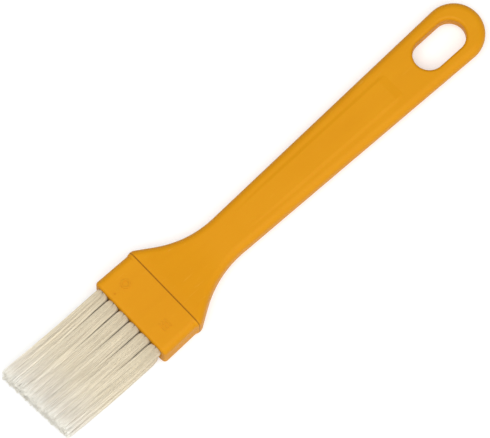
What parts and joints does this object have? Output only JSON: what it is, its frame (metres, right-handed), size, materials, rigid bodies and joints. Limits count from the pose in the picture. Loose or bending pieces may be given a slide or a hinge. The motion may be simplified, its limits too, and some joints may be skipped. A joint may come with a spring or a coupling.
{
  "type": "flat bristle brush",
  "caption": "Flat bristle brush: one moulded plastic handle with a hang slot, and a straight-cut bundle of pale bristle tufts held by anchors.",
  "frame": {"origin": "below the middle of the brush's whole length and width, on the plane of its back face", "axes": "+X along the brush from the bristle tips to the hang slot, +Y across the brush, +Z out of its front face"},
  "size_m": [0.22, 0.0376, 0.0133],
  "materials": {
    "handle_plastic": "satin moulded polypropylene, yellow orange",
    "bristle": "off-white bristle filaments",
    "anchor_wire": "flat drawn wire, cut to length"
  },
  "bodies": {
    "root": {"handle": "handle_plastic", "tuft_front_1": "bristle", "anchor_front_1": "anchor_wire", "tuft_front_2": "bristle", "anchor_front_2": "anchor_wire", "tuft_front_3": "bristle", "anchor_front_3": "anchor_wire", "tuft_front_4": "bristle", "anchor_front_4": "anchor_wire", "tuft_front_5": "bristle", "anchor_front_5": "anchor_wire", "tuft_front_6": "bristle", "anchor_front_6": "anchor_wire", "tuft_back_1": "bristle", "anchor_back_1": "anchor_wire", "tuft_back_2": "bristle", "anchor_back_2": "anchor_wire", "tuft_back_3": "bristle", "anchor_back_3": "anchor_wire", "tuft_back_4": "bristle", "anchor_back_4": "anchor_wire", "tuft_back_5": "bristle", "anchor_back_5": "anchor_wire"}
  },
  "joints": []
}
